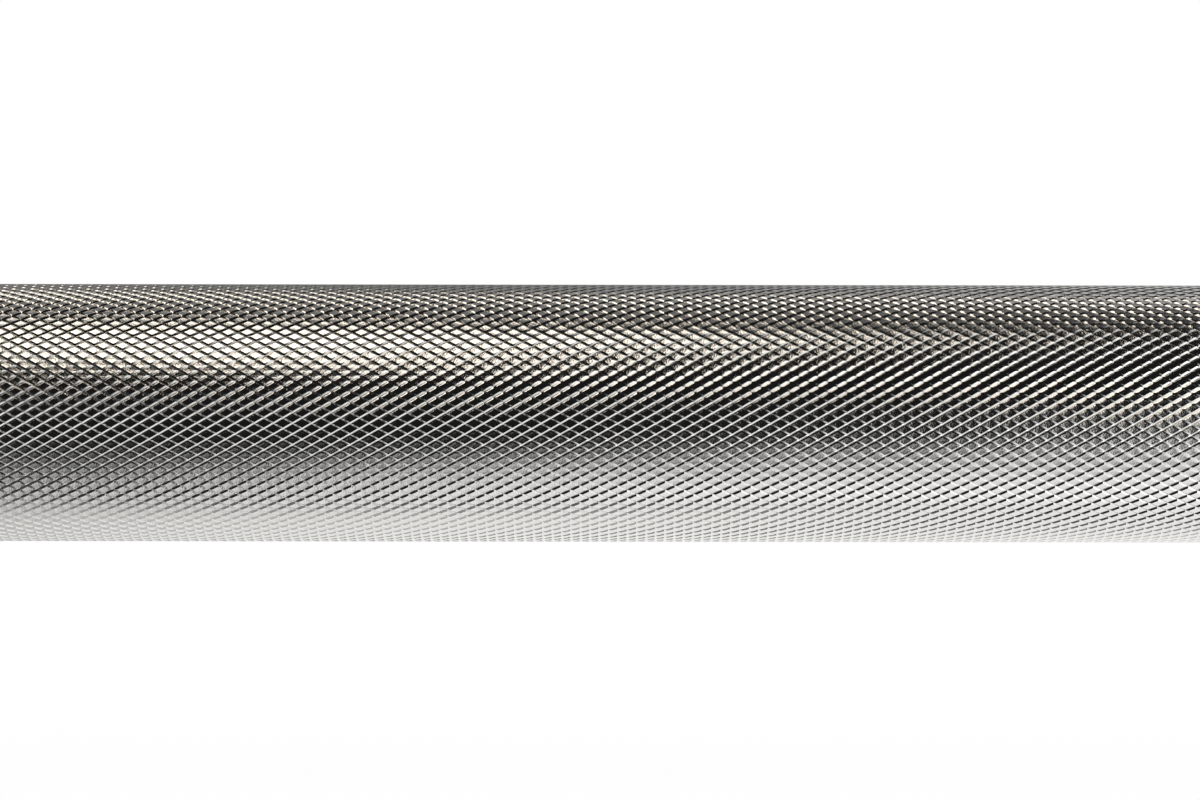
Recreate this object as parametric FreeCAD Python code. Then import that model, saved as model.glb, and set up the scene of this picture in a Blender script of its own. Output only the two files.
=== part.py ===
"""Olympic barbell with a knurled shaft and two needle-bearing sleeves.

The shaft lies along X with its middle at the origin, and +Z is up. Lengths are in millimetres.
Both ends are built alike. An end is drawn at the right, by its distance out from the collar's
inner face, and the left end is the same solids turned half a turn about Z.
"""

import FreeCAD
import Part

import math
import os

from FreeCAD import Vector

# Shaft between the collars
GRIP_LENGTH = 1310.0
SHAFT_DIAMETER = 28.0

# Knurled bands: a centre band, and two on each side parted by a smooth grip mark
KNURL_RISE = 0.1
KNURL_RAMP = 0.6
CENTRE_KNURL_LENGTH = 120.0
INNER_KNURL_LENGTH = 245.0
GRIP_MARK_WIDTH = 5.0
OUTER_KNURL_LENGTH = 193.0
KNURL_TO_COLLAR = 2.0

# Shaft ends inside the sleeves
SHOULDER_DEPTH = 10.0
SHOULDER_CHAMFER = 0.6
JOURNAL_DIAMETER = 25.0
JOURNAL_END_CHAMFER = 1.5
SHAFT_END_GAP = 2.0

# Loading sleeve
SLEEVE_DIAMETER = 50.0
LOADABLE_LENGTH = 415.0
SLEEVE_TIP_CHAMFER = 4.0
SLEEVE_TIP_DROP = 2.5
SLEEVE_INSET = 1.0
SLEEVE_RELIEF_WIDTH = 2.0
SLEEVE_RELIEF_DEPTH = 0.5
RIB_WIDTH = 4.0
RIB_BORE = 26.0

# Inner collar, shrunk onto a seat a little wider than the sleeve
COLLAR_WIDTH = 30.0
COLLAR_SEAT_RISE = 1.0
COLLAR_DIAMETER = 78.0
FLANGE_WIDTH = 14.0
FLANGE_ROUND = 2.5
HUB_DIAMETER = 60.0
HUB_ROUND = 2.0
HUB_FILLET = 2.5
HUB_GROOVE_WIDTH = 3.0
HUB_GROOVE_DEPTH = 1.2

# Dust seal in the mouth of the sleeve
SEAL_SEAT_DIAMETER = 36.0
SEAL_WIDTH = 5.0
SEAL_SEAT_DEPTH = 6.0
SEAL_LIP_WIDTH = 1.6
SEAL_GROOVE_DEPTH = 1.5

# Needle bearings, in an inner and an outer pair
BEARINGS_PER_PAIR = 2
BEARING_DIAMETER = 32.0
BEARING_WIDTH = 20.0
CUP_WALL = 1.0
CUP_LIP_BORE = 26.2
ROLLERS_PER_BEARING = 20
ROLLER_LENGTH = 15.6
ROLLER_EDGE = 0.25
CAGE_WALL = 1.3

# Spacer between the two pairs
SPACER_BORE = 27.4

# Thrust washers, one at the shoulder and one at the shaft's end
WASHER_THICKNESS = 2.0
INNER_WASHER_DIAMETER = 31.2
OUTER_WASHER_DIAMETER = 35.2

# Snap ring that holds the bearing stack in the sleeve
SNAP_RING_WIDTH = 1.6
SNAP_RING_BAND = 2.4
SNAP_GROOVE_DEPTH = 1.0
SNAP_RING_GAP = 6.0
SNAP_RING_TO_STEP = 2.4

# Counterbore for the outer washer and the shaft circlip
COUNTERBORE_DIAMETER = 37.0

# Circlip on the shaft
SHAFT_CIRCLIP_WIDTH = 1.2
SHAFT_CIRCLIP_BAND = 3.2
SHAFT_GROOVE_DEPTH = 0.55
SHAFT_CIRCLIP_GAP = 7.0

# End cap, held in the mouth of the sleeve by a circlip
END_CAP_DIAMETER = 40.0
END_CAP_THICKNESS = 5.0
END_CAP_DISH_DIAMETER = 26.0
END_CAP_DISH_DEPTH = 1.2
END_CAP_ROUND = 0.6
END_CIRCLIP_WIDTH = 1.75
END_CIRCLIP_BAND = 3.4
END_GROOVE_DEPTH = 1.0
END_CIRCLIP_GAP = 9.0
MOUTH_LIP = 1.5

# Plier ears of both circlips
EAR_WIDTH = 4.4
EAR_REACH = 1.6
EAR_HOLE_DIAMETER = 2.0

# Clearances
PRESS_GAP = 0.01
ROLLING_GAP = 0.02
SEAL_GAP = 0.1
GROOVE_GAP = 0.05
END_FLOAT = 0.3
WASHER_BORE_GAP = 0.1
CAGE_END_GAP = 0.2
POCKET_GAP = 0.07
END_CAP_GAP = 0.1

# Radii and stations that follow, each station a distance out from the collar's inner face
SHAFT_RADIUS = SHAFT_DIAMETER / 2
JOURNAL_RADIUS = JOURNAL_DIAMETER / 2
SLEEVE_RADIUS = SLEEVE_DIAMETER / 2
BEARING_RADIUS = BEARING_DIAMETER / 2
SEAT_RADIUS = SLEEVE_RADIUS + COLLAR_SEAT_RISE
COUNTERBORE_RADIUS = COUNTERBORE_DIAMETER / 2
END_CAP_RADIUS = END_CAP_DIAMETER / 2

HALF_GRIP = GRIP_LENGTH / 2
SLEEVE_END = COLLAR_WIDTH + LOADABLE_LENGTH
SEAL_SEAT_END = SLEEVE_INSET + SEAL_SEAT_DEPTH
RIB_START = SHOULDER_DEPTH + WASHER_THICKNESS + END_FLOAT
RIB_END = RIB_START + RIB_WIDTH

END_CIRCLIP_START = SLEEVE_END - MOUTH_LIP - END_CIRCLIP_WIDTH - 2 * GROOVE_GAP
END_CAP_START = END_CIRCLIP_START - END_CAP_THICKNESS
SHAFT_END = END_CAP_START - SHAFT_END_GAP
SHAFT_CIRCLIP_START = SHAFT_END - JOURNAL_END_CHAMFER - 3 * SHAFT_CIRCLIP_WIDTH
COUNTERBORE_START = SHAFT_CIRCLIP_START - WASHER_THICKNESS - END_FLOAT
SNAP_RING_START = COUNTERBORE_START - SNAP_RING_TO_STEP - SNAP_RING_WIDTH
PAIR_WIDTH = BEARINGS_PER_PAIR * BEARING_WIDTH
OUTER_PAIR_START = SNAP_RING_START - PAIR_WIDTH

RACEWAY_RADIUS = BEARING_RADIUS - CUP_WALL
ORBIT_RADIUS = (RACEWAY_RADIUS + JOURNAL_RADIUS) / 2
ROLLER_RADIUS = (RACEWAY_RADIUS - JOURNAL_RADIUS) / 2 - ROLLING_GAP

AXIS = Vector(1, 0, 0)


def rounded_outline(corners):
    """Closed face in the X-radius half plane. A corner is (x, radius) or (x, radius, rounding)."""
    points = [Vector(corner[0], 0, corner[1]) for corner in corners]
    starts, ends, arcs = [], [], []
    for index, corner in enumerate(corners):
        here = points[index]
        rounding = corner[2] if len(corner) > 2 else 0.0
        if not rounding:
            starts.append(here)
            ends.append(here)
            arcs.append(None)
            continue
        back = (points[index - 1] - here).normalize()
        ahead = (points[(index + 1) % len(points)] - here).normalize()
        half = back.getAngle(ahead) / 2
        reach = rounding / math.tan(half)
        middle = here + (back + ahead).normalize() * (rounding / math.sin(half) - rounding)
        starts.append(here + back * reach)
        ends.append(here + ahead * reach)
        arcs.append(Part.Arc(starts[-1], middle, ends[-1]).toShape())
    edges = []
    for index, arc in enumerate(arcs):
        if arc:
            edges.append(arc)
        edges.append(Part.LineSegment(ends[index], starts[(index + 1) % len(points)]).toShape())
    return Part.Face(Part.Wire(edges))


def turned(corners):
    """Solid turned about the X axis from its outline."""
    return rounded_outline(corners).revolve(Vector(0, 0, 0), AXIS, 360)


def tube(start, end, inner, outer, edge=0.0):
    """Plain ring between two stations, with an optional chamfer on its outer edges."""
    if not edge:
        return turned([(start, inner), (start, outer), (end, outer), (end, inner)])
    return turned(
        [
            (start, inner),
            (start, outer - edge),
            (start + edge, outer),
            (end - edge, outer),
            (end, outer - edge),
            (end, inner),
        ]
    )


def disc(start, end, radius, centre=Vector(0, 0, 0)):
    """Cylinder along X about a centre in the YZ plane."""
    return Part.makeCylinder(radius, end - start, centre + AXIS * start, AXIS)


def slab(start, end, width, bottom, top):
    """Box across the Z axis, from one height to another."""
    return Part.makeBox(end - start, width, top - bottom, Vector(start, -width / 2, bottom))


def knurl_bands():
    """Knurled bands of one half of the shaft, as (start, end) distances from its middle."""
    outer_end = HALF_GRIP - KNURL_TO_COLLAR
    outer_start = outer_end - OUTER_KNURL_LENGTH
    inner_end = outer_start - GRIP_MARK_WIDTH
    inner_start = inner_end - INNER_KNURL_LENGTH
    return [(inner_start, inner_end), (outer_start, outer_end)]


def shaft_half():
    """Corners of the shaft's outline from its middle to its right end."""
    crest = SHAFT_RADIUS + KNURL_RISE
    centre_end = CENTRE_KNURL_LENGTH / 2
    corners = [(centre_end - KNURL_RAMP, crest), (centre_end, SHAFT_RADIUS)]
    for start, end in knurl_bands():
        corners += [(start, SHAFT_RADIUS), (start + KNURL_RAMP, crest)]
        corners += [(end - KNURL_RAMP, crest), (end, SHAFT_RADIUS)]
    shoulder = HALF_GRIP + SHOULDER_DEPTH
    groove_start = HALF_GRIP + SHAFT_CIRCLIP_START - GROOVE_GAP
    groove_end = HALF_GRIP + SHAFT_CIRCLIP_START + SHAFT_CIRCLIP_WIDTH + GROOVE_GAP
    groove_radius = JOURNAL_RADIUS - SHAFT_GROOVE_DEPTH
    end = HALF_GRIP + SHAFT_END
    corners += [
        (shoulder - SHOULDER_CHAMFER, SHAFT_RADIUS),
        (shoulder, SHAFT_RADIUS - SHOULDER_CHAMFER),
        (shoulder, JOURNAL_RADIUS),
        (groove_start, JOURNAL_RADIUS),
        (groove_start, groove_radius),
        (groove_end, groove_radius),
        (groove_end, JOURNAL_RADIUS),
        (end - JOURNAL_END_CHAMFER, JOURNAL_RADIUS),
        (end, JOURNAL_RADIUS - JOURNAL_END_CHAMFER),
        (end, 0),
    ]
    return corners


def shaft():
    """One turned bar: knurled grip, two shoulders and two bearing journals."""
    right = shaft_half()
    left = [(-x, radius) for x, radius in reversed(right)]
    return turned(left + right)


def sleeve():
    """Loading sleeve: a relief where the plates meet the collar, and the seats inside."""
    relief = SLEEVE_RADIUS - SLEEVE_RELIEF_DEPTH
    end_groove = END_CAP_RADIUS + END_GROOVE_DEPTH
    end_groove_stop = END_CIRCLIP_START + END_CIRCLIP_WIDTH + GROOVE_GAP
    snap_groove = BEARING_RADIUS + SNAP_GROOVE_DEPTH
    snap_groove_stop = SNAP_RING_START + SNAP_RING_WIDTH + GROOVE_GAP
    return turned(
        [
            (SLEEVE_INSET, SEAL_SEAT_DIAMETER / 2),
            (SLEEVE_INSET, SEAT_RADIUS),
            (COLLAR_WIDTH, SEAT_RADIUS),
            (COLLAR_WIDTH, relief),
            (COLLAR_WIDTH + SLEEVE_RELIEF_WIDTH, relief),
            (COLLAR_WIDTH + SLEEVE_RELIEF_WIDTH, SLEEVE_RADIUS),
            (SLEEVE_END - SLEEVE_TIP_CHAMFER, SLEEVE_RADIUS),
            (SLEEVE_END, SLEEVE_RADIUS - SLEEVE_TIP_DROP, SLEEVE_TIP_DROP / 4),
            (SLEEVE_END, END_CAP_RADIUS),
            (end_groove_stop, END_CAP_RADIUS),
            (end_groove_stop, end_groove),
            (END_CIRCLIP_START - GROOVE_GAP, end_groove),
            (END_CIRCLIP_START - GROOVE_GAP, END_CAP_RADIUS),
            (END_CAP_START - GROOVE_GAP, END_CAP_RADIUS),
            (END_CAP_START - GROOVE_GAP, COUNTERBORE_RADIUS),
            (COUNTERBORE_START, COUNTERBORE_RADIUS),
            (COUNTERBORE_START, BEARING_RADIUS),
            (snap_groove_stop, BEARING_RADIUS),
            (snap_groove_stop, snap_groove),
            (SNAP_RING_START, snap_groove),
            (SNAP_RING_START, BEARING_RADIUS),
            (RIB_END, BEARING_RADIUS),
            (RIB_END, RIB_BORE / 2),
            (RIB_START, RIB_BORE / 2),
            (RIB_START, BEARING_RADIUS),
            (SEAL_SEAT_END, BEARING_RADIUS),
            (SEAL_SEAT_END, SEAL_SEAT_DIAMETER / 2),
        ]
    )


def collar():
    """Stop for the plates: a hub with a turned groove and a flange with a flat outer face."""
    bore = SEAT_RADIUS + PRESS_GAP
    hub = HUB_DIAMETER / 2
    flange = COLLAR_DIAMETER / 2
    flange_start = COLLAR_WIDTH - FLANGE_WIDTH
    groove_middle = flange_start / 2
    groove_half = HUB_GROOVE_WIDTH / 2
    return turned(
        [
            (0, bore),
            (0, hub, HUB_ROUND),
            (groove_middle - groove_half, hub),
            (groove_middle, hub - HUB_GROOVE_DEPTH, HUB_GROOVE_DEPTH / 2),
            (groove_middle + groove_half, hub),
            (flange_start, hub, HUB_FILLET),
            (flange_start, flange, FLANGE_ROUND),
            (COLLAR_WIDTH, flange, FLANGE_ROUND),
            (COLLAR_WIDTH, bore),
        ]
    )


def dust_seal():
    """Rubber wiper ring, with a groove that frees its lip."""
    lip = SHAFT_RADIUS + SEAL_GAP
    outer = SEAL_SEAT_DIAMETER / 2 - PRESS_GAP
    seat = SLEEVE_INSET + SEAL_SEAT_DEPTH - SEAL_WIDTH
    groove_inner = lip + SEAL_LIP_WIDTH
    groove_outer = outer - SEAL_LIP_WIDTH / 2
    return turned(
        [
            (seat, lip),
            (seat, groove_inner),
            (seat + SEAL_GROOVE_DEPTH, groove_inner),
            (seat + SEAL_GROOVE_DEPTH, groove_outer),
            (seat, groove_outer),
            (seat, outer),
            (seat + SEAL_WIDTH, outer),
            (seat + SEAL_WIDTH, lip),
        ]
    )


def thrust_washer(start, diameter):
    """Bronze washer that runs on the journal, with half the end float on each side."""
    start += END_FLOAT / 2
    bore = JOURNAL_RADIUS + WASHER_BORE_GAP
    return tube(start, start + WASHER_THICKNESS, bore, diameter / 2, WASHER_THICKNESS / 8)


def bearing_starts():
    """Stations where the bearings of one sleeve start, from the collar outwards."""
    pair = [index * BEARING_WIDTH for index in range(BEARINGS_PER_PAIR)]
    return [RIB_END + step for step in pair] + [OUTER_PAIR_START + step for step in pair]


def bearing_cup(start):
    """Drawn cup, whose lips keep the cage in."""
    end = start + BEARING_WIDTH
    outer = BEARING_RADIUS - PRESS_GAP
    lip = CUP_LIP_BORE / 2
    return turned(
        [
            (start, lip),
            (start, outer, CUP_WALL / 2),
            (end, outer, CUP_WALL / 2),
            (end, lip),
            (end - CUP_WALL, lip),
            (end - CUP_WALL, RACEWAY_RADIUS),
            (start + CUP_WALL, RACEWAY_RADIUS),
            (start + CUP_WALL, lip),
        ]
    )


def around(shape):
    """Copies of a shape at every roller's place round the bearing."""
    step = 360 / ROLLERS_PER_BEARING
    copies = [shape.copy() for _ in range(ROLLERS_PER_BEARING)]
    for index, copy in enumerate(copies):
        copy.rotate(Vector(0, 0, 0), AXIS, index * step)
    return copies


def bearing_cage(start):
    """Ring with one pocket for each roller."""
    inner = ORBIT_RADIUS - CAGE_WALL / 2
    outer = ORBIT_RADIUS + CAGE_WALL / 2
    ring_start = start + CUP_WALL + CAGE_END_GAP
    ring_end = start + BEARING_WIDTH - CUP_WALL - CAGE_END_GAP
    middle = start + BEARING_WIDTH / 2
    pocket_half = ROLLER_LENGTH / 2 + POCKET_GAP
    pocket_width = 2 * (ROLLER_RADIUS + POCKET_GAP)
    pocket = slab(middle - pocket_half, middle + pocket_half, pocket_width, inner / 2, outer + CAGE_WALL)
    return tube(ring_start, ring_end, inner, outer).cut(around(pocket))


def bearing_rollers(start):
    """Needles of one bearing, each a separate solid with chamfered ends."""
    first = start + (BEARING_WIDTH - ROLLER_LENGTH) / 2
    last = first + ROLLER_LENGTH
    needle = turned(
        [
            (first, 0),
            (first, ROLLER_RADIUS - ROLLER_EDGE),
            (first + ROLLER_EDGE, ROLLER_RADIUS),
            (last - ROLLER_EDGE, ROLLER_RADIUS),
            (last, ROLLER_RADIUS - ROLLER_EDGE),
            (last, 0),
        ]
    )
    needle.translate(Vector(0, 0, ORBIT_RADIUS))
    return Part.makeCompound(around(needle))


def bearing_spacer():
    """Tube that keeps the two bearing pairs apart."""
    return tube(RIB_END + PAIR_WIDTH, OUTER_PAIR_START, SPACER_BORE / 2, BEARING_RADIUS - GROOVE_GAP)


def bearing_snap_ring():
    """Split ring in the sleeve's bore that closes the bearing stack."""
    outer = BEARING_RADIUS + SNAP_GROOVE_DEPTH - GROOVE_GAP
    end = SNAP_RING_START + SNAP_RING_WIDTH
    ring = tube(SNAP_RING_START, end, outer - SNAP_RING_BAND, outer)
    return ring.cut(slab(SNAP_RING_START, end, SNAP_RING_GAP, 0, outer + SNAP_RING_BAND))


def ear(start, end, side, gap, bottom, top):
    """Plier ear beside a circlip's gap, and its hole."""
    middle = side * (gap + EAR_WIDTH) / 2
    body = slab(start, end, EAR_WIDTH, bottom, top)
    body.translate(Vector(0, middle, 0))
    hole = disc(start, end, EAR_HOLE_DIAMETER / 2, Vector(0, middle, (bottom + top) / 2))
    return body, hole


def circlip(start, width, inner, outer, gap, inward):
    """Split ring with two drilled ears, which point inward or outward at its gap."""
    end = start + width
    band = outer - inner
    ring = tube(start, end, inner, outer).cut(slab(start, end, gap, 0, outer + band))
    ear_middle = gap / 2 + EAR_WIDTH / 2
    if inward:
        top = math.sqrt(outer**2 - (gap / 2 + EAR_WIDTH) ** 2)
        bottom = math.sqrt(inner**2 - ear_middle**2) - EAR_REACH
    else:
        bottom = inner
        top = math.sqrt(outer**2 - ear_middle**2) + EAR_REACH
    for side in (-1, 1):
        body, hole = ear(start, end, side, gap, bottom, top)
        ring = ring.fuse(body).cut(hole)
    return ring.removeSplitter()


def shaft_circlip():
    """External ring that keeps the sleeve on the shaft. Its gap is at the top."""
    inner = JOURNAL_RADIUS - SHAFT_GROOVE_DEPTH + GROOVE_GAP
    outer = inner + SHAFT_CIRCLIP_BAND
    return circlip(SHAFT_CIRCLIP_START, SHAFT_CIRCLIP_WIDTH, inner, outer, SHAFT_CIRCLIP_GAP, inward=False)


def end_cap():
    """Round plug with a shallow dish, which seals the end of the sleeve."""
    end = END_CAP_START + END_CAP_THICKNESS
    radius = END_CAP_RADIUS - END_CAP_GAP
    dish = END_CAP_DISH_DIAMETER / 2
    floor = end - END_CAP_DISH_DEPTH
    return turned(
        [
            (END_CAP_START, 0),
            (END_CAP_START, radius, END_CAP_ROUND),
            (end, radius, END_CAP_ROUND),
            (end, dish, END_CAP_ROUND),
            (floor, dish - END_CAP_DISH_DEPTH, END_CAP_ROUND),
            (floor, 0),
        ]
    )


def end_cap_circlip():
    """Internal ring in the mouth of the sleeve, over the end cap. Its gap is at the top."""
    outer = END_CAP_RADIUS + END_GROOVE_DEPTH - GROOVE_GAP
    inner = outer - END_CIRCLIP_BAND
    return circlip(END_CIRCLIP_START, END_CIRCLIP_WIDTH, inner, outer, END_CIRCLIP_GAP, inward=True)


def end_pieces():
    """Every piece of one end, by name, with stations measured from the collar's inner face."""
    pieces = {
        "sleeve": sleeve(),
        "inner_collar": collar(),
        "dust_seal": dust_seal(),
        "inner_thrust_washer": thrust_washer(SHOULDER_DEPTH, INNER_WASHER_DIAMETER),
        "bearing_spacer": bearing_spacer(),
        "bearing_snap_ring": bearing_snap_ring(),
        "outer_thrust_washer": thrust_washer(COUNTERBORE_START, OUTER_WASHER_DIAMETER),
        "shaft_circlip": shaft_circlip(),
        "end_cap": end_cap(),
        "end_cap_circlip": end_cap_circlip(),
    }
    for number, start in enumerate(bearing_starts(), 1):
        pieces[f"bearing_{number}_cup"] = bearing_cup(start)
        pieces[f"bearing_{number}_cage"] = bearing_cage(start)
        pieces[f"bearing_{number}_rollers"] = bearing_rollers(start)
    return pieces


def main():
    """Writes one STEP file for each piece of the barbell."""
    os.makedirs("parts", exist_ok=True)
    pieces = {"shaft": shaft()}
    for name, shape in end_pieces().items():
        shape.translate(AXIS * HALF_GRIP)
        pieces["right_" + name] = shape
        turned_round = shape.copy()
        turned_round.rotate(Vector(0, 0, 0), Vector(0, 0, 1), 180)
        pieces["left_" + name] = turned_round
    for name, shape in pieces.items():
        shape.exportStep(f"parts/{name}.step")
    print(len(pieces), "nodes,", sum(len(shape.Solids) for shape in pieces.values()), "solids")


main()
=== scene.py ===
# %% [markdown]
# # Dressing an olympic barbell
# The barbell comes from CAD as separate turned pieces at their real size. Seen from arm's length, what
# makes it look real is the diamond knurl of the grip, the soft edges of the turned parts, and what the
# bright metal mirrors. This lesson makes the knurl as real geometry, turns finer pieces where the CAD
# meshes are coarse, gives every piece its finish, and sets up the studio of the photograph.

import math

import bpy
from mathutils import Matrix, Vector


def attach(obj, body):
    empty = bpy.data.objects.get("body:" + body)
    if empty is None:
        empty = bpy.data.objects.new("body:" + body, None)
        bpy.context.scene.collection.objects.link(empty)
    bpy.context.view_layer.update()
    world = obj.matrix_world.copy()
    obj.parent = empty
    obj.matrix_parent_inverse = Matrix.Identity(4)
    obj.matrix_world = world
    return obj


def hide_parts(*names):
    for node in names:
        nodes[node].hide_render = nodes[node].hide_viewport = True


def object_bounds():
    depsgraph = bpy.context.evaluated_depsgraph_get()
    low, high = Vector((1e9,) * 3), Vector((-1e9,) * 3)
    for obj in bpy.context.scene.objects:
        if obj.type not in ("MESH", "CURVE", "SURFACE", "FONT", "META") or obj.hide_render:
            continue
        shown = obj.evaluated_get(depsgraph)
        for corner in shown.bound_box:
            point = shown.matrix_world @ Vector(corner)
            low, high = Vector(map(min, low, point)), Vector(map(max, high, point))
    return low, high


MM = 0.001
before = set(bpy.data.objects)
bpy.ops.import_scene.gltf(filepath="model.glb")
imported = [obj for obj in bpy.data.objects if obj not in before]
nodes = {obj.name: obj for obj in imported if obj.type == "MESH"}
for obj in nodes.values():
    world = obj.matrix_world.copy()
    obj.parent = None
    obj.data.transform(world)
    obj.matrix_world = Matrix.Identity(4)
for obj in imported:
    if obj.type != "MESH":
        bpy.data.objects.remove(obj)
cad_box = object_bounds()
print("CAD nodes:", len(nodes), "box:", [[round(v, 4) for v in corner] for corner in cad_box])

# %% [markdown]
# ## The camera first
# The photograph shows about 132 mm of the bar, square on, from a little under half a metre. The knurl
# gives the scale: its diamonds are 2 mm long, and they shrink slightly towards the bar's upper and lower
# edges, which tells how far away the lens stood. The bar's axis lies a little under the middle of the
# frame.

# %% Camera
VIEW_CENTRE_X = 276.5 * MM
VIEW_DISTANCE = 437 * MM
VIEW_WIDTH = 131.7 * MM
VIEW_RISE = 1.455 * MM
VIEW_ROLL = math.radians(0.076)
SENSOR_WIDTH = 36.0

camera_data = bpy.data.cameras.new("camera")
camera_data.sensor_width = SENSOR_WIDTH
camera_data.lens = SENSOR_WIDTH * VIEW_DISTANCE / VIEW_WIDTH
camera_data.clip_start = 0.01
camera = bpy.data.objects.new("camera", camera_data)
camera.location = (VIEW_CENTRE_X, -VIEW_DISTANCE, VIEW_RISE)
camera.rotation_euler = (math.pi / 2, -VIEW_ROLL, 0)
bpy.context.scene.collection.objects.link(camera)
bpy.context.scene.camera = camera
print("lens:", round(camera_data.lens, 1), "mm")

# %% [markdown]
# ## One diamond of the knurl
# A knurl is rolled into the bar by two hard wheels, whose ridges cross at 30 degrees to the axis and
# leave rows of small diamonds. Each diamond is a four-sided face: an inset leaves room for half of each
# groove, and the middle is raised and poked, because the rolls heap metal up round each top and leave it
# slightly hollow. One wheel bites deeper than the other. Its grooves run through as long, bright lines,
# and the shallow ones, which rise as the metal heaps up ahead of the wheel, end on their walls. Two
# vertices, added to the edge in a shallow groove and lifted, make that floor. Bump mapping could fake it
# all, but would not break the outline.

# %% The diamond
KNURL_PITCH = 1.016 * MM
KNURL_ANGLE = math.radians(30)
KNURLS_ROUND = 76
CREST_RADIUS = 14.1 * MM
GROOVE_HALF_WIDTH = 0.185 * MM
GROOVE_DEPTH = 0.123 * MM
SHALLOW_DEPTH = 0.105 * MM
HEAPED_DEPTH = 0.06 * MM
TOP_HOLLOW = 0.035 * MM
SHARP_ANGLE = math.radians(20)
DIAMOND_LENGTH = KNURL_PITCH / math.sin(KNURL_ANGLE)
DIAMOND_HEIGHT = 2 * math.pi * CREST_RADIUS / KNURLS_ROUND
NEAR = 0.005 * MM


def start_piece(name):
    """Names the primitive that was just added, and applies its turn to its mesh."""
    piece = bpy.context.object
    piece.name = name
    piece.data.name = name
    bpy.ops.object.transform_apply(location=True, rotation=True, scale=True)
    return piece


def pick(piece, wanted):
    """Opens a piece for editing, with only the vertices selected whose place passes a test."""
    bpy.ops.object.mode_set(mode="EDIT")
    bpy.ops.mesh.select_all(action="DESELECT")
    bpy.ops.object.mode_set(mode="OBJECT")
    for vertex in piece.data.vertices:
        vertex.select = wanted(vertex.co)
    bpy.ops.object.mode_set(mode="EDIT")


def lift_groove(diamond, side):
    """Lifts the edge on one side of the diamond, in a shallow groove between two deep grooves' walls."""
    flats = DIAMOND_LENGTH * DIAMOND_HEIGHT / math.hypot(DIAMOND_LENGTH, DIAMOND_HEIGHT)
    middle = Vector((side * DIAMOND_LENGTH / 4, GROOVE_DEPTH, side * DIAMOND_HEIGHT / 4))
    edge = Vector((DIAMOND_LENGTH / 2, 0, -DIAMOND_HEIGHT / 2))
    pick(diamond, lambda place: place.y > GROOVE_DEPTH - NEAR and min(side * place.x, side * place.z) > -NEAR)
    bpy.ops.mesh.subdivide(number_cuts=2)
    for end, depth in ((1, HEAPED_DEPTH), (-1, SHALLOW_DEPTH)):
        third = middle + end * edge / 6
        rise = middle + end * edge * (0.5 - GROOVE_HALF_WIDTH / flats) + Vector((0, depth - GROOVE_DEPTH, 0))
        pick(diamond, lambda place: (place - third).length < NEAR)
        bpy.ops.transform.translate(value=rise - third)
        bpy.ops.object.mode_set(mode="OBJECT")
        crests = [vertex.co for vertex in diamond.data.vertices if abs(vertex.co.y) < NEAR]
        corner = min(crests, key=lambda place: (place - rise).length).copy()
        pick(diamond, lambda place: min((place - rise).length, (place - corner).length) < NEAR)
        bpy.ops.mesh.vert_connect()
        bpy.ops.object.mode_set(mode="OBJECT")


def add_diamond(name):
    """One diamond, facing -Y, with its crest on the plane y = 0."""
    bpy.ops.object.select_all(action="DESELECT")
    bpy.ops.mesh.primitive_circle_add(vertices=4, radius=1, fill_type="NGON", rotation=(math.pi / 2, 0, 0))
    diamond = start_piece(name)
    pick(diamond, lambda place: True)
    bpy.ops.transform.resize(value=(DIAMOND_LENGTH / 2, 1, DIAMOND_HEIGHT / 2))
    bpy.ops.transform.translate(value=(0, GROOVE_DEPTH, 0))
    bpy.ops.mesh.inset(thickness=GROOVE_HALF_WIDTH)
    bpy.ops.transform.translate(value=(0, -GROOVE_DEPTH, 0))
    bpy.ops.mesh.poke(offset=-TOP_HOLLOW)
    bpy.ops.object.mode_set(mode="OBJECT")
    for side in (1, -1):
        lift_groove(diamond, side)
    return diamond


# %% [markdown]
# ## From a diamond to a knurled band
# Three arrays lay the diamonds out flat: a pair set half a step apart, then round, then along the bar. A
# bend rolls the sheet up, and its zigzag edges mesh where they meet, so merging them closes the tube. Two
# straight cuts trim the ends and cap them. A band of more than about 165 mm would have too many triangles
# for one piece, so the long bands are made in two lengths that meet on a straight cut.

# %% Knurled bands
MERGE_DISTANCE = 0.002 * MM
CUT_TOLERANCE = 1e-7
ROUGHENING = 0.004 * MM


def apply_modifier(piece, kind, **settings):
    """Adds a modifier to the active piece, and applies it."""
    modifier = piece.modifiers.new(kind.lower(), kind)
    for setting, value in settings.items():
        setattr(modifier, setting, value)
    bpy.ops.object.modifier_apply(modifier=modifier.name)


def lay_out(piece, count, step):
    """Repeats the active piece by a fixed step."""
    apply_modifier(
        piece,
        "ARRAY",
        count=count,
        use_relative_offset=False,
        use_constant_offset=True,
        constant_offset_displace=step,
    )


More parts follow.
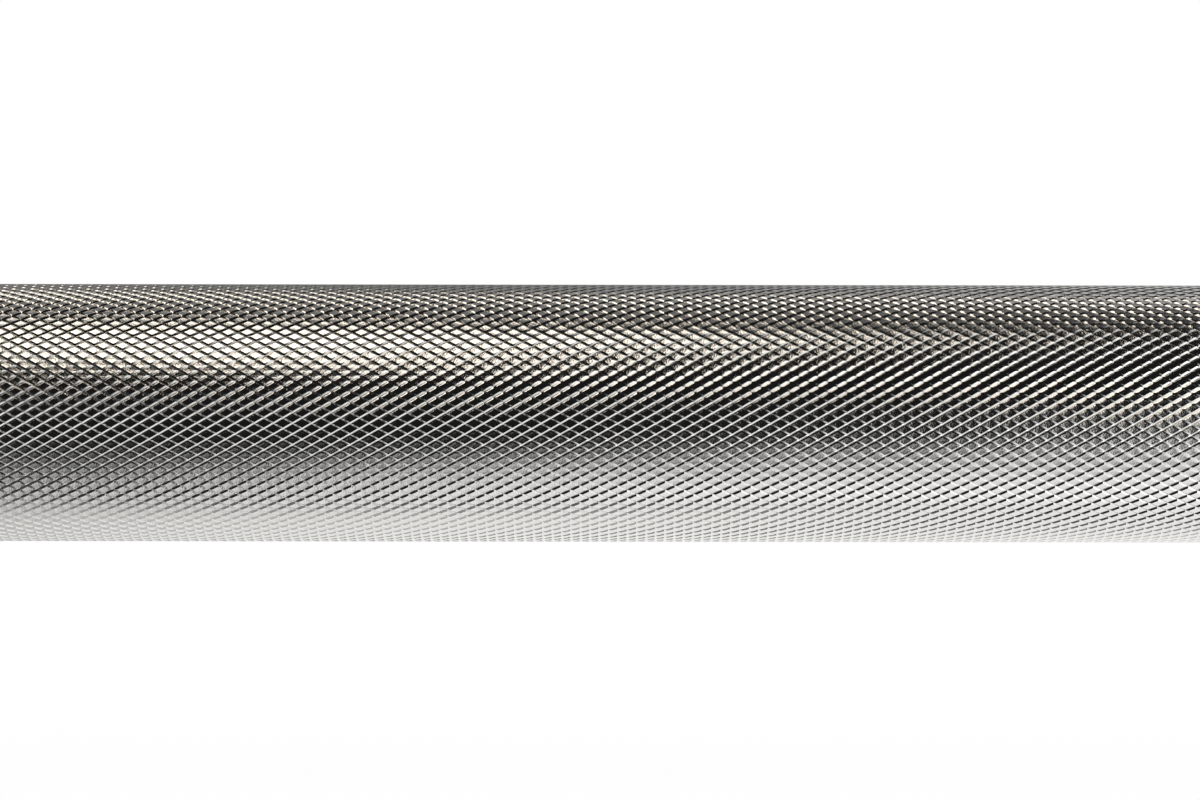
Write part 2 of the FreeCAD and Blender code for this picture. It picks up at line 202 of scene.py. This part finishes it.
def knurled_band(name, start, end, seed):
    """A closed length of knurled bar between two stations along X."""
    band = add_diamond(name)
    rows = math.ceil((end - start) / DIAMOND_LENGTH) + 2
    lay_out(band, 2, (DIAMOND_LENGTH / 2, 0, DIAMOND_HEIGHT / 2))
    lay_out(band, KNURLS_ROUND, (0, 0, DIAMOND_HEIGHT))
    lay_out(band, rows, (DIAMOND_LENGTH, 0, 0))
    overlapping_turn = 2 * math.pi * (KNURLS_ROUND + 0.5) / KNURLS_ROUND
    apply_modifier(band, "SIMPLE_DEFORM", deform_method="BEND", deform_axis="X", angle=overlapping_turn)
    pick(band, lambda place: True)
    first_row = math.floor(start / DIAMOND_LENGTH) * DIAMOND_LENGTH - DIAMOND_LENGTH
    bpy.ops.transform.translate(value=(first_row + DIAMOND_LENGTH / 2, -CREST_RADIUS, 0))
    bpy.ops.mesh.remove_doubles(threshold=MERGE_DISTANCE)
    bpy.ops.transform.vertex_random(offset=ROUGHENING, normal=0.0, seed=seed)
    for station, is_start in ((start, True), (end, False)):
        bpy.ops.mesh.select_all(action="SELECT")
        bpy.ops.mesh.bisect(
            plane_co=(station, 0, 0),
            plane_no=(1, 0, 0),
            use_fill=True,
            clear_inner=is_start,
            clear_outer=not is_start,
            threshold=CUT_TOLERANCE,
        )
    bpy.ops.object.mode_set(mode="OBJECT")
    bpy.ops.object.shade_smooth_by_angle(angle=SHARP_ANGLE)
    return band


CENTRE_BAND = (-60 * MM, 60 * MM)
INNER_BAND = (210 * MM, 350 * MM, 455 * MM)
OUTER_BAND = (460 * MM, 556 * MM, 653 * MM)
KNURLED_ENDS = {
    "centre_knurl": CENTRE_BAND,
    "right_inner_knurl_a": INNER_BAND[:2],
    "right_inner_knurl_b": INNER_BAND[1:],
    "right_outer_knurl_a": OUTER_BAND[:2],
    "right_outer_knurl_b": OUTER_BAND[1:],
}
knurled = []
for seed, (name, ends) in enumerate(KNURLED_ENDS.items(), start=1):
    knurled.append(knurled_band(name, *ends, seed))


def left_copy(piece):
    """The same piece on the left end: a copy with its own mesh, half a turn about Z away."""
    copy = piece.copy()
    copy.data = piece.data.copy()
    copy.name = piece.name.replace("right", "left")
    copy.data.name = copy.name
    copy.data.transform(Matrix.Rotation(math.pi, 4, "Z"))
    bpy.context.scene.collection.objects.link(copy)
    return copy


knurled += [left_copy(band) for band in knurled[1:]]
print("knurled lengths:", len(knurled), "faces:", sum(len(band.data.polygons) for band in knurled))

# %% [markdown]
# ## A lathe made of extrusions
# Everything else on the bar is turned, so one helper works as a lathe does: it starts with a ring,
# extrudes it to the next station and resizes it to the next radius. A closed outline comes back to its
# first ring, where the doubles are merged, and an open one is a solid with flat ends. Corners with a
# third number are then rounded by a bevel of that width. The spin tool could sweep a drawn outline too,
# but stations and radii are what a turner's drawing gives.

# %% The lathe
TURNED_SIDES = 192
ROUNDING_STEPS = 4
SMOOTH_ANGLE = math.radians(30)


def round_ring(piece, station, radius, width):
    """Rounds the edge that runs round a turned piece at one station and radius."""
    pick(piece, lambda place: abs(place.x - station) < NEAR and abs(place.yz.length - radius) < NEAR)
    bpy.ops.mesh.bevel(offset=width, segments=ROUNDING_STEPS)
    bpy.ops.object.mode_set(mode="OBJECT")


def turned(name, start, outline):
    """Turns an outline of (station, radius[, rounding]) in millimetres round X, measured from a start."""
    corners = [(start + point[0] * MM, point[1] * MM) for point in outline]
    station, radius = corners[0]
    bpy.ops.object.select_all(action="DESELECT")
    bpy.ops.mesh.primitive_circle_add(
        vertices=TURNED_SIDES,
        radius=radius,
        fill_type="NOTHING" if corners[0] == corners[-1] else "NGON",
        location=(station, 0, 0),
        rotation=(0, math.pi / 2, 0),
    )
    piece = start_piece(name)
    pick(piece, lambda place: True)
    for next_station, next_radius in corners[1:]:
        bpy.ops.mesh.extrude_region_move(TRANSFORM_OT_translate={"value": (next_station - station, 0, 0)})
        growth = next_radius / radius
        bpy.ops.transform.resize(value=(1, growth, growth), center_override=(next_station, 0, 0))
        station, radius = next_station, next_radius
    bpy.ops.mesh.select_all(action="SELECT")
    bpy.ops.mesh.remove_doubles(threshold=NEAR)
    bpy.ops.mesh.normals_make_consistent(inside=False)
    bpy.ops.object.mode_set(mode="OBJECT")
    for corner, point in zip(corners, outline):
        if len(point) == 3:
            round_ring(piece, *corner, point[2] * MM)
    bpy.ops.object.shade_smooth_by_angle(angle=SMOOTH_ANGLE)
    apply_modifier(piece, "WEIGHTED_NORMAL", keep_sharp=True)
    return piece


print("lathe: rings of", TURNED_SIDES, "sides")

# %% [markdown]
# ## The plain lengths of the shaft
# Between the knurled bands the bar is ground smooth, and so is the narrow ring that marks where the hands
# go. Past the last band the bar steps down to the journal on which the sleeve's needle bearings run, with
# a groove near its end for the circlip that keeps the sleeve on. Each length is a solid turning.

# %% Plain lengths
SHAFT_RADIUS = 14
JOURNAL_RADIUS = 12.5
CIRCLIP_GROOVE_RADIUS = 11.95
PLAIN_OUTLINE = [(0, SHAFT_RADIUS), (150, SHAFT_RADIUS)]
GRIP_MARK_OUTLINE = [(0, SHAFT_RADIUS), (5, SHAFT_RADIUS)]
JOURNAL_OUTLINE = [
    (0, SHAFT_RADIUS),
    (11.4, SHAFT_RADIUS),
    (12, 13.4),
    (12, JOURNAL_RADIUS),
    (431.5, JOURNAL_RADIUS),
    (431.5, CIRCLIP_GROOVE_RADIUS),
    (432.8, CIRCLIP_GROOVE_RADIUS),
    (432.8, JOURNAL_RADIUS),
    (435.15, JOURNAL_RADIUS),
    (436.65, 11),
]
plain = [
    turned("right_plain_length", CENTRE_BAND[-1], PLAIN_OUTLINE),
    turned("right_grip_mark", INNER_BAND[-1], GRIP_MARK_OUTLINE),
    turned("right_journal", OUTER_BAND[-1], JOURNAL_OUTLINE),
]
plain += [left_copy(length) for length in plain]
print("plain lengths:", [length.name for length in plain])

# %% [markdown]
# ## The sleeves
# A sleeve is a 50 mm tube that carries the plates. Its outline goes along the outside, over the chamfered
# tip and back through the bore: the seats of the end cap and its circlip, the thrust washer's
# counterbore, the snap ring's groove, the long bore of the bearings, the rib and the seal's seat. All of
# it is one closed outline.

# %% Sleeves
COLLAR_FACE = 655 * MM
SLEEVE_OUTLINE = [
    (1, 18),
    (1, 26),
    (30, 26),
    (30, 24.5, 0.2),
    (32, 24.5, 0.2),
    (32, 25, 0.3),
    (441, 25, 0.8),
    (445, 22.5, 0.6),
    (445, 20, 0.4),
    (443.45, 20),
    (443.45, 21),
    (441.6, 21),
    (441.6, 20),
    (436.6, 20),
    (436.6, 18.5),
    (427.25, 18.5),
    (427.25, 16),
    (424.9, 16),
    (424.9, 17),
    (423.25, 17),
    (423.25, 16),
    (16.3, 16),
    (16.3, 13),
    (12.3, 13),
    (12.3, 16),
    (7, 16),
    (7, 18),
    (1, 18),
]
right_sleeve = turned("right_sleeve_tube", COLLAR_FACE, SLEEVE_OUTLINE)
left_sleeve = left_copy(right_sleeve)
print("sleeve faces:", len(right_sleeve.data.polygons))

# %% [markdown]
# ## The collars
# The collar is the stop that the plates lean on. It is turned from one ring: a hub with a fine V groove
# round it, and a wide flange with generous rounds, because hands and plates meet it. It is shrunk onto
# the sleeve.

# %% Collars
COLLAR_OUTLINE = [
    (0, 26.01),
    (0, 30, 2),
    (6.5, 30),
    (8, 28.8, 0.6),
    (9.5, 30),
    (16, 30, 2.5),
    (16, 39, 2.5),
    (30, 39, 2.5),
    (30, 26.01),
    (0, 26.01),
]
right_collar = turned("right_collar_ring", COLLAR_FACE, COLLAR_OUTLINE)
left_collar = left_copy(right_collar)
print("collar faces:", len(right_collar.data.polygons))

# %% [markdown]
# ## The end caps
# A plain aluminium plug closes the mouth of the sleeve behind a circlip. Its outer face has a shallow
# turned dish and no mark of any kind.

# %% End caps
CAP_OUTLINE = [
    (436.65, 19.9, 0.6),
    (441.65, 19.9, 0.6),
    (441.65, 13, 0.6),
    (440.45, 11.8, 0.6),
]
right_cap = turned("right_cap_disc", COLLAR_FACE, CAP_OUTLINE)
left_cap = left_copy(right_cap)
print("end cap faces:", len(right_cap.data.polygons))

# %% [markdown]
# ## What each new piece rides on
# The shaft's lengths stay with the shaft. The sleeve, its collar and its cap spin together, so they ride
# on the sleeve's body. Each piece takes the place of the coarser solid that it follows.

# %% Bodies
for length in knurled + plain:
    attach(length, "shaft")
    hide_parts("shaft")

SPINNING = {
    "right": (right_sleeve, right_collar, right_cap),
    "left": (left_sleeve, left_collar, left_cap),
}
SPINNING_NODES = ("sleeve", "inner_collar", "end_cap")
SPINNING_SLOTS = ("sleeve_chrome", "collar_chrome", "end_cap_anodised")
for side, pieces in SPINNING.items():
    for piece, node, slot in zip(pieces, SPINNING_NODES, SPINNING_SLOTS):
        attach(piece, side + "_sleeve")
        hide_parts(side + "_" + node)
print("new pieces:", len(knurled) + len(plain) + sum(len(pieces) for pieces in SPINNING.values()))

# %% [markdown]
# ## Finishes: the common tools
# Each finish is a small graph of nodes. One function adds a node with its settings and links, one turns a
# hex colour as seen on a screen into the linear numbers that the shader wants, and one starts an empty
# material.

# %% Tools for finishes
def add_node(owner, kind, inputs=None, **settings):
    """Adds a node, with its settings, and with each input a value or a (node, output) link."""
    node = owner.node_tree.nodes.new(kind)
    for setting, value in settings.items():
        setattr(node, setting, value)
    for socket, value in (inputs or {}).items():
        if isinstance(value, tuple) and isinstance(value[0], bpy.types.Node):
            owner.node_tree.links.new(value[0].outputs[value[1]], node.inputs[socket])
        else:
            node.inputs[socket].default_value = value
    return node


def linear(hex_colour):
    """An sRGB hex colour as linear RGBA."""
    channels = [int(hex_colour[i : i + 2], 16) / 255 for i in (1, 3, 5)]
    return tuple(c / 12.92 if c <= 0.04045 else ((c + 0.055) / 1.055) ** 2.4 for c in channels) + (1.0,)


def empty_material(name):
    """A material whose graph has no nodes yet."""
    material = bpy.data.materials.new(name)
    material.use_nodes = True
    material.node_tree.nodes.clear()
    return material


def paint(piece, material):
    """Gives a piece one material all over."""
    piece.data.materials.clear()
    piece.data.materials.append(material)


print("mid grey as linear:", round(linear("#808080")[0], 3))

# %% [markdown]
# ## Bright chrome on the rolled knurl
# The grip is rolled steel under a thin coat of bright chrome. The wheels' ridges burnish the groove
# walls, which mirror the room in clean lines. The tops keep the crushed skin of the bar, and the plating
# follows it, so each little mirror there is grainy and breaks up what it reflects. A fine noise of that
# grain size drives the bump, and the distance out from the bar's axis fades it in between the grooves and
# the tops.

# %% Knurl chrome
CHROME = "#DAD9D6"
ROLLED_GRAIN = 0.2 * MM
ROLLED_RELIEF = 0.03 * MM
GROOVE_GRAIN_SHARE = 0.1
TOP_GRAIN_SHARE = 0.7
KNURL_ROUGHNESS = (0.04, 0.1)

# Neutral, slightly warm mirror with a sparkle of fine grain on the tops.
knurl_chrome = empty_material("bright_chrome_on_rolled_knurl")
place = add_node(knurl_chrome, "ShaderNodeTexCoord")
across = add_node(
    knurl_chrome,
    "ShaderNodeVectorMath",
    {0: (place, "Object"), 1: (0.0, 1.0, 1.0)},
    operation="MULTIPLY",
)
radius = add_node(knurl_chrome, "ShaderNodeVectorMath", {0: (across, "Vector")}, operation="LENGTH")
crushing = add_node(
    knurl_chrome,
    "ShaderNodeMapRange",
    {
        "Value": (radius, "Value"),
        "From Min": CREST_RADIUS - GROOVE_DEPTH / 2,
        "From Max": CREST_RADIUS - TOP_HOLLOW,
        "To Min": GROOVE_GRAIN_SHARE,
        "To Max": TOP_GRAIN_SHARE,
    },
)
grain = add_node(
    knurl_chrome,
    "ShaderNodeTexNoise",
    {"Vector": (place, "Object"), "Scale": 1 / ROLLED_GRAIN, "Detail": 3.0},
)
relief = add_node(
    knurl_chrome,
    "ShaderNodeBump",
    {"Height": (grain, "Fac"), "Strength": (crushing, "Result"), "Distance": ROLLED_RELIEF},
)
dulling = add_node(
    knurl_chrome,
    "ShaderNodeMapRange",
    {"Value": (grain, "Fac"), "To Min": KNURL_ROUGHNESS[0], "To Max": KNURL_ROUGHNESS[1]},
)
metal = add_node(
    knurl_chrome,
    "ShaderNodeBsdfPrincipled",
    {
        "Base Color": linear(CHROME),
        "Metallic": 1.0,
        "Roughness": (dulling, "Result"),
        "Normal": (relief, "Normal"),
    },
)
add_node(knurl_chrome, "ShaderNodeOutputMaterial", {"Surface": (metal, "BSDF")})
for band in knurled:
    paint(band, knurl_chrome)
print("knurl grain:", ROLLED_GRAIN / MM, "mm")

# %% [markdown]
# ## Bright chrome on ground and turned steel
# The plain lengths are ground, the sleeves and collars turned and polished. Under the mirror the tool's
# marks stay as very fine rings, one feed apart. A noise in one dimension draws them: what it reads is the
# distance along the axis plus the distance out from it, so cylinders and flat faces both get rings. A
# second, wide noise makes the polish a little uneven, as hands and cloths leave it.

# %% Turned chrome
POLISH_PATCH = 30 * MM
POLISH_NOISE = (0.3, 0.7)


def turned_chrome(name, feed, relief_depth, dullest):
    """Bright chrome with fine rings, one feed of the tool apart."""
    material = empty_material(name)
    place = add_node(material, "ShaderNodeTexCoord")
    apart = add_node(material, "ShaderNodeSeparateXYZ", {"Vector": (place, "Object")})
    across = add_node(material, "ShaderNodeCombineXYZ", {"Y": (apart, "Y"), "Z": (apart, "Z")})
    radius = add_node(material, "ShaderNodeVectorMath", {0: (across, "Vector")}, operation="LENGTH")
    travel = add_node(material, "ShaderNodeMath", {0: (apart, "X"), 1: (radius, "Value")})
    rings = add_node(
        material,
        "ShaderNodeTexNoise",
        {"W": (travel, "Value"), "Scale": 1 / feed, "Detail": 2.0},
        noise_dimensions="1D",
    )
    relief = add_node(
        material,
        "ShaderNodeBump",
        {"Height": (rings, "Fac"), "Strength": 1.0, "Distance": relief_depth},
    )
    polish = add_node(
        material,
        "ShaderNodeTexNoise",
        {"Vector": (place, "Object"), "Scale": 1 / POLISH_PATCH},
    )
    dulling = add_node(
        material,
        "ShaderNodeMapRange",
        {
            "Value": (polish, "Fac"),
            "From Min": POLISH_NOISE[0],
            "From Max": POLISH_NOISE[1],
            "To Min": dullest / 2,
            "To Max": dullest,
        },
    )
    metal = add_node(
        material,
        "ShaderNodeBsdfPrincipled",
        {
            "Base Color": linear(CHROME),
            "Metallic": 1.0,
            "Roughness": (dulling, "Result"),
            "Normal": (relief, "Normal"),
        },
    )
    add_node(material, "ShaderNodeOutputMaterial", {"Surface": (metal, "BSDF")})
    return material


# A satin mirror: fine grinding dulls it a little more than polish does.
ground_chrome = turned_chrome(
    "bright_chrome_on_ground_bar",
    feed=0.25 * MM,
    relief_depth=0.002 * MM,
    dullest=0.2,
)
# A clear mirror whose long highlights are faintly combed by the lathe's feed.
sleeve_chrome = turned_chrome(
    "bright_chrome_on_turned_sleeve",
    feed=0.4 * MM,
    relief_depth=0.003 * MM,
    dullest=0.16,
)
# The same mirror, polished further, on the collar's rounds.
collar_chrome = turned_chrome(
    "bright_chrome_on_turned_collar",
    feed=0.3 * MM,
    relief_depth=0.002 * MM,
    dullest=0.12,
)
for length in plain:
    paint(length, ground_chrome)
for sleeve in (right_sleeve, left_sleeve):
    paint(sleeve, sleeve_chrome)
for collar in (right_collar, left_collar):
    paint(collar, collar_chrome)
print("turned finishes:", ground_chrome.name, sleeve_chrome.name, collar_chrome.name)

# %% [markdown]
# ## The other metals, and the rubber
# The hidden pieces keep their CAD shapes and get their real finishes. They are all made alike: a noise at
# the size of the surface's own grain moves the colour between two shades and the roughness between two
# values, and lifts the surface by a few thousandths of a millimetre.

# %% Grained finishes
def grained(name, shades, metallic, grain, relief_depth, roughness):
    """A surface that varies between two shades and two roughnesses at the size of its grain."""
    material = empty_material(name)
    place = add_node(material, "ShaderNodeTexCoord")
    texture = add_node(
        material,
        "ShaderNodeTexNoise",
        {"Vector": (place, "Object"), "Scale": 1 / grain, "Detail": 4.0},
    )
    tone = add_node(
        material,
        "ShaderNodeMix",
        {"Factor": (texture, "Fac"), "A": linear(shades[0]), "B": linear(shades[1])},
        data_type="RGBA",
    )
    relief = add_node(
        material,
        "ShaderNodeBump",
        {"Height": (texture, "Fac"), "Strength": 1.0, "Distance": relief_depth},
    )
    dulling = add_node(
        material,
        "ShaderNodeMapRange",
        {"Value": (texture, "Fac"), "To Min": roughness[0], "To Max": roughness[1]},
    )
    body = add_node(
        material,
        "ShaderNodeBsdfPrincipled",
        {
            "Base Color": (tone, "Result"),
            "Metallic": metallic,
            "Roughness": (dulling, "Result"),
            "Normal": (relief, "Normal"),
        },
    )
    add_node(material, "ShaderNodeOutputMaterial", {"Surface": (body, "BSDF")})
    return material


# Bright, cool grey with a fine satin grain.
ground_steel = grained(
    "ground_bearing_steel",
    shades=("#A9ACAF", "#C3C6C8"),
    metallic=1.0,
    grain=0.1 * MM,
    relief_depth=0.002 * MM,
    roughness=(0.18, 0.3),
)
# Dark, dry grey, blotchy from the phosphate bath.
cage_steel = grained(
    "phosphated_cage_steel",
    shades=("#3B3B39", "#56554F"),
    metallic=1.0,
    grain=0.4 * MM,
    relief_depth=0.004 * MM,
    roughness=(0.45, 0.6),
)
# Mid grey under a film of oil.
tube_steel = grained(
    "drawn_steel_tube",
    shades=("#7F8082", "#9A9B9C"),
    metallic=1.0,
    grain=0.3 * MM,
    relief_depth=0.003 * MM,
    roughness=(0.28, 0.42),
)
# Near black with a soft lustre.
spring_steel = grained(
    "phosphated_spring_steel",
    shades=("#262523", "#3D3B37"),
    metallic=1.0,
    grain=0.3 * MM,
    relief_depth=0.003 * MM,
    roughness=(0.38, 0.52),
)
# Warm yellow brown, brighter where the tool cut.
bronze = grained(
    "machined_bearing_bronze",
    shades=("#9C7440", "#C39758"),
    metallic=1.0,
    grain=0.25 * MM,
    relief_depth=0.003 * MM,
    roughness=(0.24, 0.38),
)
# Deep black with a dull, even skin.
rubber = grained(
    "moulded_nitrile_rubber",
    shades=("#161616", "#232322"),
    metallic=0.0,
    grain=0.35 * MM,
    relief_depth=0.006 * MM,
    roughness=(0.5, 0.65),
)
# Black with a silky metallic sheen.
anodised = grained(
    "black_anodised_aluminium",
    shades=("#141416", "#202023"),
    metallic=0.6,
    grain=0.2 * MM,
    relief_depth=0.003 * MM,
    roughness=(0.3, 0.42),
)

for cap in (right_cap, left_cap):
    paint(cap, anodised)
KEPT_FINISHES = {
    "dust_seal": rubber,
    "thrust_washer": bronze,
    "cup": ground_steel,
    "rollers": ground_steel,
    "cage": cage_steel,
    "bearing_spacer": tube_steel,
    "snap_ring": spring_steel,
    "circlip": spring_steel,
}
kept_count = 0
for name, node in nodes.items():
    for ending, material in KEPT_FINISHES.items():
        if name.endswith(ending):
            paint(node, material)
            kept_count += 1
print("CAD nodes with a finish:", kept_count)

# %% [markdown]
# ## Floor and sky
# The photograph's ground is plain white. A white floor under a white sky of strength 1 gives that, and
# lights the rubber and the other dull pieces evenly, at a level where colours come out as written. The
# floor is mixed with plain white where the camera sees it, which leaves only a soft trace of the bar's
# shadow.

# %% Floor and sky
WHITE = "#FFFFFF"
FLOOR_SIZE = 60
WHITE_SHARE = 0.95

bpy.ops.object.select_all(action="DESELECT")
bpy.ops.mesh.primitive_plane_add(size=FLOOR_SIZE, location=(0, 0, cad_box[0][2]))
floor = start_piece("floor")
floor_white = empty_material("white_studio_floor")
path = add_node(floor_white, "ShaderNodeLightPath")
matt = add_node(floor_white, "ShaderNodeBsdfDiffuse", {"Color": linear(WHITE)})
glow = add_node(floor_white, "ShaderNodeEmission", {"Color": linear(WHITE), "Strength": 1.0})
seen = add_node(
    floor_white,
    "ShaderNodeMath",
    {0: (path, "Is Camera Ray"), 1: (path, "Is Glossy Ray")},
    operation="MAXIMUM",
)
seen = add_node(
    floor_white,
    "ShaderNodeMath",
    {0: (seen, "Value"), 1: (path, "Is Transmission Ray")},
    operation="MAXIMUM",
)
share = add_node(floor_white, "ShaderNodeMath", {0: (seen, "Value"), 1: WHITE_SHARE}, operation="MULTIPLY")
mixed = add_node(
    floor_white,
    "ShaderNodeMixShader",
    {0: (share, "Value"), 1: (matt, "BSDF"), 2: (glow, "Emission")},
)
add_node(floor_white, "ShaderNodeOutputMaterial", {"Surface": (mixed, "Shader")})
paint(floor, floor_white)

world = bpy.data.worlds.new("white_sky")
bpy.context.scene.world = world
world.use_nodes = True
world.node_tree.nodes.clear()
sky = add_node(world, "ShaderNodeBackground", {"Color": linear(WHITE), "Strength": 1.0})
add_node(world, "ShaderNodeOutputWorld", {"Surface": (sky, "Background")})
print("floor at z =", round(cad_box[0][2], 4))

# %% [markdown]
# ## What the chrome mirrors
# Chrome shows nothing but its surroundings, and in an even white sky it would look like paper. The
# photograph's bar stands in a dim room, with a warm softbox and a warm lamp above it on the left, white
# panels low on both sides, a white sweep under it that fades towards the lens, and a pale wall behind.
# Here that room is a wide canopy round the bar that only mirror rays can see, with soft-edged cards of
# light on its inside. The angle round the bar is 0 towards the lens and 90 straight up. The floor leaves
# mirror rays to the canopy, whose sweep takes its place. Past both ends the room is lighter, so that the
# plain sleeves get a bright line too.

# %% Canopy
CANOPY_RADIUS = 1.0
CANOPY_LENGTH = 8.0
CANOPY_SIDES = 180
ROOM_LEVEL = 0.012

floor.visible_glossy = False
bpy.ops.object.select_all(action="DESELECT")
bpy.ops.mesh.primitive_cylinder_add(
    vertices=CANOPY_SIDES,
    radius=CANOPY_RADIUS,
    depth=CANOPY_LENGTH,
    end_fill_type="NOTHING",
    rotation=(0, math.pi / 2, 0),
)
canopy = start_piece("canopy")
for ray in ("camera", "diffuse", "shadow", "transmission", "volume_scatter"):
    setattr(canopy, "visible_" + ray, False)
room = empty_material("studio_room")
spot = add_node(room, "ShaderNodeTexCoord")
apart = add_node(room, "ShaderNodeSeparateXYZ", {"Vector": (spot, "Object")})
front = add_node(room, "ShaderNodeMath", {0: (apart, "Y"), 1: -1.0}, operation="MULTIPLY")
turn = add_node(room, "ShaderNodeMath", {0: (apart, "Z"), 1: (front, "Value")}, operation="ARCTAN2")
degrees = add_node(room, "ShaderNodeMath", {0: (turn, "Value"), 1: math.degrees(1)}, operation="MULTIPLY")
along = add_node(room, "ShaderNodeMath", {0: (apart, "X"), 1: VIEW_CENTRE_X}, operation="SUBTRACT")
dimness = add_node(room, "ShaderNodeCombineXYZ", {"X": ROOM_LEVEL, "Y": ROOM_LEVEL, "Z": ROOM_LEVEL})
print("canopy radius:", CANOPY_RADIUS, "m")

# %% [markdown]
# ## Cards of light
# A card is a patch of the canopy that glows. Each of its edges is a smooth step, either in the angle
# round the bar or in the distance along it, and an edge round the bar may lean. The cards' light adds up,
# over the faint light of the room itself.

# %% Cards of light
def hang_card(light, level, tint, turn_edges, along_edges):
    """Adds a card to the room's light. Each edge is its place and its half fade, negative on a far edge.

    Edges along the bar are in metres from the middle of the view. Edges round the bar are in degrees, and a
    third number says by how many degrees they fall for each metre along.
    """
    colour = add_node(room, "ShaderNodeVectorMath", {0: linear(tint)[:3], "Scale": level}, operation="SCALE")
    edges = [(along, edge, fade) for edge, fade in along_edges]
    for edge, fade, lean in turn_edges:
        leaning = add_node(
            room,
            "ShaderNodeMath",
            {0: (along, "Value"), 1: lean, 2: (degrees, "Value")},
            operation="MULTIPLY_ADD",
        )
        edges.append((leaning, edge, fade))
    for position, edge, fade in edges:
        step = add_node(
            room,
            "ShaderNodeMapRange",
            {"Value": (position, "Value"), "From Min": edge - fade, "From Max": edge + fade},
            interpolation_type="SMOOTHSTEP",
        )
        colour = add_node(
            room,
            "ShaderNodeVectorMath",
            {0: (colour, "Vector"), "Scale": (step, "Result")},
            operation="SCALE",
        )
    return add_node(room, "ShaderNodeVectorMath", {0: (light, "Vector"), 1: (colour, "Vector")})


WARM = "#FFF4E6"
CARDS = {
    "sweep": (1.12, WHITE, [(-50, -30, -45), (6, -16, 0)], [(-0.27, 0.3)]),
    "left_panel": (0.65, WHITE, [(-40, -20, 0)], [(-0.46, -0.1)]),
    "right_panel": (1.0, WHITE, [(-36, 12, 0), (20, -8, 0), (-22, -14, -75)], [(0.28, 0.12)]),
    "haze": (0.2, WHITE, [(85, 12, 0)], [(0.15, -0.22)]),
    "back_wall": (0.75, WHITE, [(118, 18, 0)], [(0.12, 0.25)]),
    "softbox": (2.0, WARM, [(95, 6, -42), (130, -8, 0)], [(-0.63, 0.1), (-0.38, -0.06)]),
    "lamp": (2.4, WARM, [(28, 7, 70), (58, 8, -160), (78, -8, 50)], [(-0.28, 0.08)]),
    "left_end_room": (0.25, WHITE, [], [(-0.95, -0.08)]),
    "left_end_strip": (1.2, WHITE, [(60, 10, 0), (115, -10, 0)], [(-0.95, -0.08)]),
    "right_end_room": (0.25, WHITE, [], [(0.7, 0.08)]),
    "right_end_strip": (1.2, WHITE, [(60, 10, 0), (115, -10, 0)], [(0.7, 0.08)]),
}
light = dimness
for level, tint, turn_edges, along_edges in CARDS.values():
    light = hang_card(light, level, tint, turn_edges, along_edges)
glow = add_node(room, "ShaderNodeEmission", {"Color": (light, "Vector"), "Strength": 1.0})
add_node(room, "ShaderNodeOutputMaterial", {"Surface": (glow, "Emission")})
paint(canopy, room)
print("nodes in the room's graph:", len(room.node_tree.nodes))

# %% [markdown]
# ## The view transform
# The last line shows the render through the Standard view transform, so colours come out as written.

# %% View transform
bpy.context.scene.view_settings.view_transform = "Standard"
